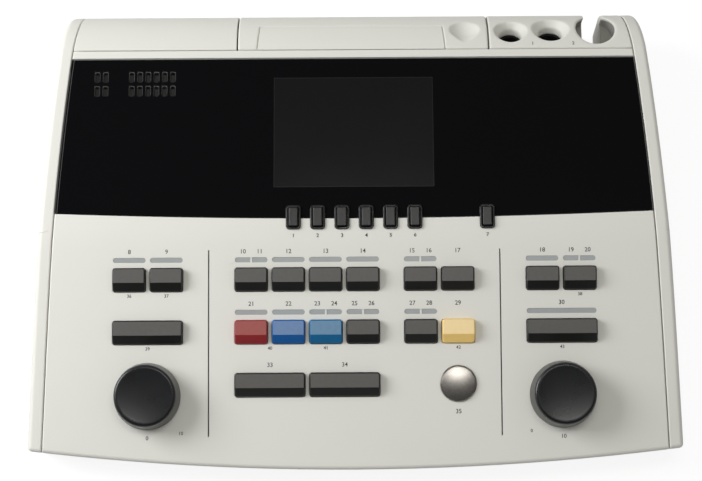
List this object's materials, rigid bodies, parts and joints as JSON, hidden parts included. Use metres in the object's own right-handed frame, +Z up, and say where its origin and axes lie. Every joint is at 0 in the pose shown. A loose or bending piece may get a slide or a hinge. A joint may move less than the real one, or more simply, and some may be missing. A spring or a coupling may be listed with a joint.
{
  "type": "desktop audiometer",
  "caption": "Desktop hearing-test console with keypad, two dials, display lens, printer lid, test cavities and a probe holder.",
  "frame": {"origin": "on the table under the middle of the console's outline", "axes": "+X to the right of the person at the keys, +Y to the rear, +Z up"},
  "size_m": [0.38, 0.2816, 0.065],
  "materials": {
    "shell_light": "fine-grained light warm grey moulding",
    "lens_black": "polished black lens",
    "screen_dark": "dark display behind the lens",
    "key_grey": "satin dark warm grey",
    "key_red": "satin dark red",
    "key_blue": "satin blue",
    "key_light_blue": "satin light blue",
    "key_cream": "satin cream yellow",
    "dial_black": "soft-touch near black",
    "bezel_black": "polished black",
    "indicator_grey": "unlit translucent grey",
    "steel_beaded": "bead-blasted",
    "steel_zinc": "plain zinc plated",
    "cup_black": "black anodised",
    "board_green": "lacquered circuit board",
    "switch_black": "moulded black",
    "panel_grey": "light grey powder coat",
    "rubber_black": "soft black",
    "paper_white": "thermal paper"
  },
  "bodies": {
    "console": {"lower_case": "shell_light", "upper_case": "shell_light", "left_cheek": "shell_light", "right_cheek": "shell_light", "display_lens": "lens_black", "lcd_module": "screen_dark", "rear_left_cover": "shell_light", "cavity_module": "shell_light", "cavity_cups": "cup_black", "printer_frame": "steel_zinc", "function_bezels": "bezel_black", "indicator_windows": "indicator_grey", "keypad_boards": "board_green", "key_switches": "switch_black", "main_board": "board_green", "speaker": "switch_black", "air_pump": "steel_zinc", "dial_encoders": "steel_zinc", "tone_switch_ring": "steel_beaded", "rear_panel": "panel_grey", "rear_sockets": "switch_black", "rubber_feet": "rubber_black", "case_screws": "steel_zinc"},
    "key_1_body": {"key_1": "key_grey"},
    "key_2_body": {"key_2": "key_grey"},
    "key_3_body": {"key_3": "key_grey"},
    "key_4_body": {"key_4": "key_grey"},
    "key_5_body": {"key_5": "key_grey"},
    "key_6_body": {"key_6": "key_grey"},
    "key_7_body": {"key_7": "key_grey"},
    "key_8_body": {"key_8": "key_grey"},
    "key_9_body": {"key_9": "key_grey"},
    "key_10_body": {"key_10": "key_grey"},
    "left_wide_key_body": {"left_wide_key": "key_grey"},
    "red_key_body": {"red_key": "key_red"},
    "blue_key_body": {"blue_key": "key_blue"},
    "light_blue_key_body": {"light_blue_key": "key_light_blue"},
    "key_11_body": {"key_11": "key_grey"},
    "key_12_body": {"key_12": "key_grey"},
    "cream_key_body": {"cream_key": "key_cream"},
    "right_wide_key_body": {"right_wide_key": "key_grey"},
    "long_key_1_body": {"long_key_1": "key_grey"},
    "long_key_2_body": {"long_key_2": "key_grey"},
    "function_key_1_body": {"function_key_1": "key_grey"},
    "function_key_2_body": {"function_key_2": "key_grey"},
    "function_key_3_body": {"function_key_3": "key_grey"},
    "function_key_4_body": {"function_key_4": "key_grey"},
    "function_key_5_body": {"function_key_5": "key_grey"},
    "function_key_6_body": {"function_key_6": "key_grey"},
    "function_key_7_body": {"function_key_7": "key_grey"},
    "tone_switch_cap_body": {"tone_switch_cap": "steel_beaded"},
    "left_dial_body": {"left_dial": "dial_black", "left_dial_shaft": "steel_zinc"},
    "right_dial_body": {"right_dial": "dial_black", "right_dial_shaft": "steel_zinc"},
    "lid_body": {"printer_lid": "shell_light", "paper_flap": "shell_light"},
    "roll_body": {"paper_roll": "paper_white"},
    "platen_body": {"platen_roller": "rubber_black"},
    "rocker_body": {"power_rocker": "bezel_black"}
  },
  "joints": [
    {"name": "key_1_press", "type": "slide", "parent": "console", "child": "key_1_body", "axis": [0, 0.1908, -0.9816], "range_m": [0, 0.002], "stiffness_N_per_m": 300},
    {"name": "key_2_press", "type": "slide", "parent": "console", "child": "key_2_body", "axis": [0, 0.1908, -0.9816], "range_m": [0, 0.002], "stiffness_N_per_m": 300},
    {"name": "key_3_press", "type": "slide", "parent": "console", "child": "key_3_body", "axis": [0, 0.1908, -0.9816], "range_m": [0, 0.002], "stiffness_N_per_m": 300},
    {"name": "key_4_press", "type": "slide", "parent": "console", "child": "key_4_body", "axis": [0, 0.1908, -0.9816], "range_m": [0, 0.002], "stiffness_N_per_m": 300},
    {"name": "key_5_press", "type": "slide", "parent": "console", "child": "key_5_body", "axis": [0, 0.1908, -0.9816], "range_m": [0, 0.002], "stiffness_N_per_m": 300},
    {"name": "key_6_press", "type": "slide", "parent": "console", "child": "key_6_body", "axis": [0, 0.1908, -0.9816], "range_m": [0, 0.002], "stiffness_N_per_m": 300},
    {"name": "key_7_press", "type": "slide", "parent": "console", "child": "key_7_body", "axis": [0, 0.1908, -0.9816], "range_m": [0, 0.002], "stiffness_N_per_m": 300},
    {"name": "key_8_press", "type": "slide", "parent": "console", "child": "key_8_body", "axis": [0, 0.1908, -0.9816], "range_m": [0, 0.002], "stiffness_N_per_m": 300},
    {"name": "key_9_press", "type": "slide", "parent": "console", "child": "key_9_body", "axis": [0, 0.1908, -0.9816], "range_m": [0, 0.002], "stiffness_N_per_m": 300},
    {"name": "key_10_press", "type": "slide", "parent": "console", "child": "key_10_body", "axis": [0, 0.1908, -0.9816], "range_m": [0, 0.002], "stiffness_N_per_m": 300},
    {"name": "left_wide_key_press", "type": "slide", "parent": "console", "child": "left_wide_key_body", "axis": [0, 0.1908, -0.9816], "range_m": [0, 0.002], "stiffness_N_per_m": 300},
    {"name": "red_key_press", "type": "slide", "parent": "console", "child": "red_key_body", "axis": [0, 0.1908, -0.9816], "range_m": [0, 0.002], "stiffness_N_per_m": 300},
    {"name": "blue_key_press", "type": "slide", "parent": "console", "child": "blue_key_body", "axis": [0, 0.1908, -0.9816], "range_m": [0, 0.002], "stiffness_N_per_m": 300},
    {"name": "light_blue_key_press", "type": "slide", "parent": "console", "child": "light_blue_key_body", "axis": [0, 0.1908, -0.9816], "range_m": [0, 0.002], "stiffness_N_per_m": 300},
    {"name": "key_11_press", "type": "slide", "parent": "console", "child": "key_11_body", "axis": [0, 0.1908, -0.9816], "range_m": [0, 0.002], "stiffness_N_per_m": 300},
    {"name": "key_12_press", "type": "slide", "parent": "console", "child": "key_12_body", "axis": [0, 0.1908, -0.9816], "range_m": [0, 0.002], "stiffness_N_per_m": 300},
    {"name": "cream_key_press", "type": "slide", "parent": "console", "child": "cream_key_body", "axis": [0, 0.1908, -0.9816], "range_m": [0, 0.002], "stiffness_N_per_m": 300},
    {"name": "right_wide_key_press", "type": "slide", "parent": "console", "child": "right_wide_key_body", "axis": [0, 0.1908, -0.9816], "range_m": [0, 0.002], "stiffness_N_per_m": 300},
    {"name": "long_key_1_press", "type": "slide", "parent": "console", "child": "long_key_1_body", "axis": [0, 0.1908, -0.9816], "range_m": [0, 0.002], "stiffness_N_per_m": 300},
    {"name": "long_key_2_press", "type": "slide", "parent": "console", "child": "long_key_2_body", "axis": [0, 0.1908, -0.9816], "range_m": [0, 0.002], "stiffness_N_per_m": 300},
    {"name": "function_key_1_press", "type": "slide", "parent": "console", "child": "function_key_1_body", "axis": [0, 0.061, -0.9981], "range_m": [0, 0.0012], "stiffness_N_per_m": 400},
    {"name": "function_key_2_press", "type": "slide", "parent": "console", "child": "function_key_2_body", "axis": [0, 0.061, -0.9981], "range_m": [0, 0.0012], "stiffness_N_per_m": 400},
    {"name": "function_key_3_press", "type": "slide", "parent": "console", "child": "function_key_3_body", "axis": [0, 0.061, -0.9981], "range_m": [0, 0.0012], "stiffness_N_per_m": 400},
    {"name": "function_key_4_press", "type": "slide", "parent": "console", "child": "function_key_4_body", "axis": [0, 0.061, -0.9981], "range_m": [0, 0.0012], "stiffness_N_per_m": 400},
    {"name": "function_key_5_press", "type": "slide", "parent": "console", "child": "function_key_5_body", "axis": [0, 0.061, -0.9981], "range_m": [0, 0.0012], "stiffness_N_per_m": 400},
    {"name": "function_key_6_press", "type": "slide", "parent": "console", "child": "function_key_6_body", "axis": [0, 0.061, -0.9981], "range_m": [0, 0.0012], "stiffness_N_per_m": 400},
    {"name": "function_key_7_press", "type": "slide", "parent": "console", "child": "function_key_7_body", "axis": [0, 0.061, -0.9981], "range_m": [0, 0.0012], "stiffness_N_per_m": 400},
    {"name": "tone_switch_cap_press", "type": "slide", "parent": "console", "child": "tone_switch_cap_body", "axis": [0, 0.1908, -0.9816], "range_m": [0, 0.0012], "stiffness_N_per_m": 400},
    {"name": "left_dial_turn", "type": "hinge", "parent": "console", "child": "left_dial_body", "pos_m": [-0.1205, -0.09877, 0.04016], "axis": [0, -0.1908, 0.9816], "continuous": true},
    {"name": "right_dial_turn", "type": "hinge", "parent": "console", "child": "right_dial_body", "pos_m": [0.1205, -0.09877, 0.04016], "axis": [0, -0.1908, 0.9816], "continuous": true},
    {"name": "printer_lid_hinge", "type": "hinge", "parent": "console", "child": "lid_body", "pos_m": [-0.0011, 0.1325, 0.038], "axis": [-1, 0, 0], "range_deg": [0, 65]},
    {"name": "roll_turn", "type": "hinge", "parent": "console", "child": "roll_body", "pos_m": [-0.0011, 0.114, 0.027], "axis": [1, 0, 0], "continuous": true},
    {"name": "platen_turn", "type": "hinge", "parent": "console", "child": "platen_body", "pos_m": [-0.0011, 0.1105, 0.054], "axis": [1, 0, 0], "continuous": true},
    {"name": "power_rocker_tilt", "type": "hinge", "parent": "console", "child": "rocker_body", "pos_m": [-0.10745, 0.126, 0.0195], "axis": [1, 0, 0], "range_deg": [0, 16]}
  ],
  "couplings": [
    {"joint": "platen_turn", "follows": "roll_turn", "ratio": 2.6}
  ]
}
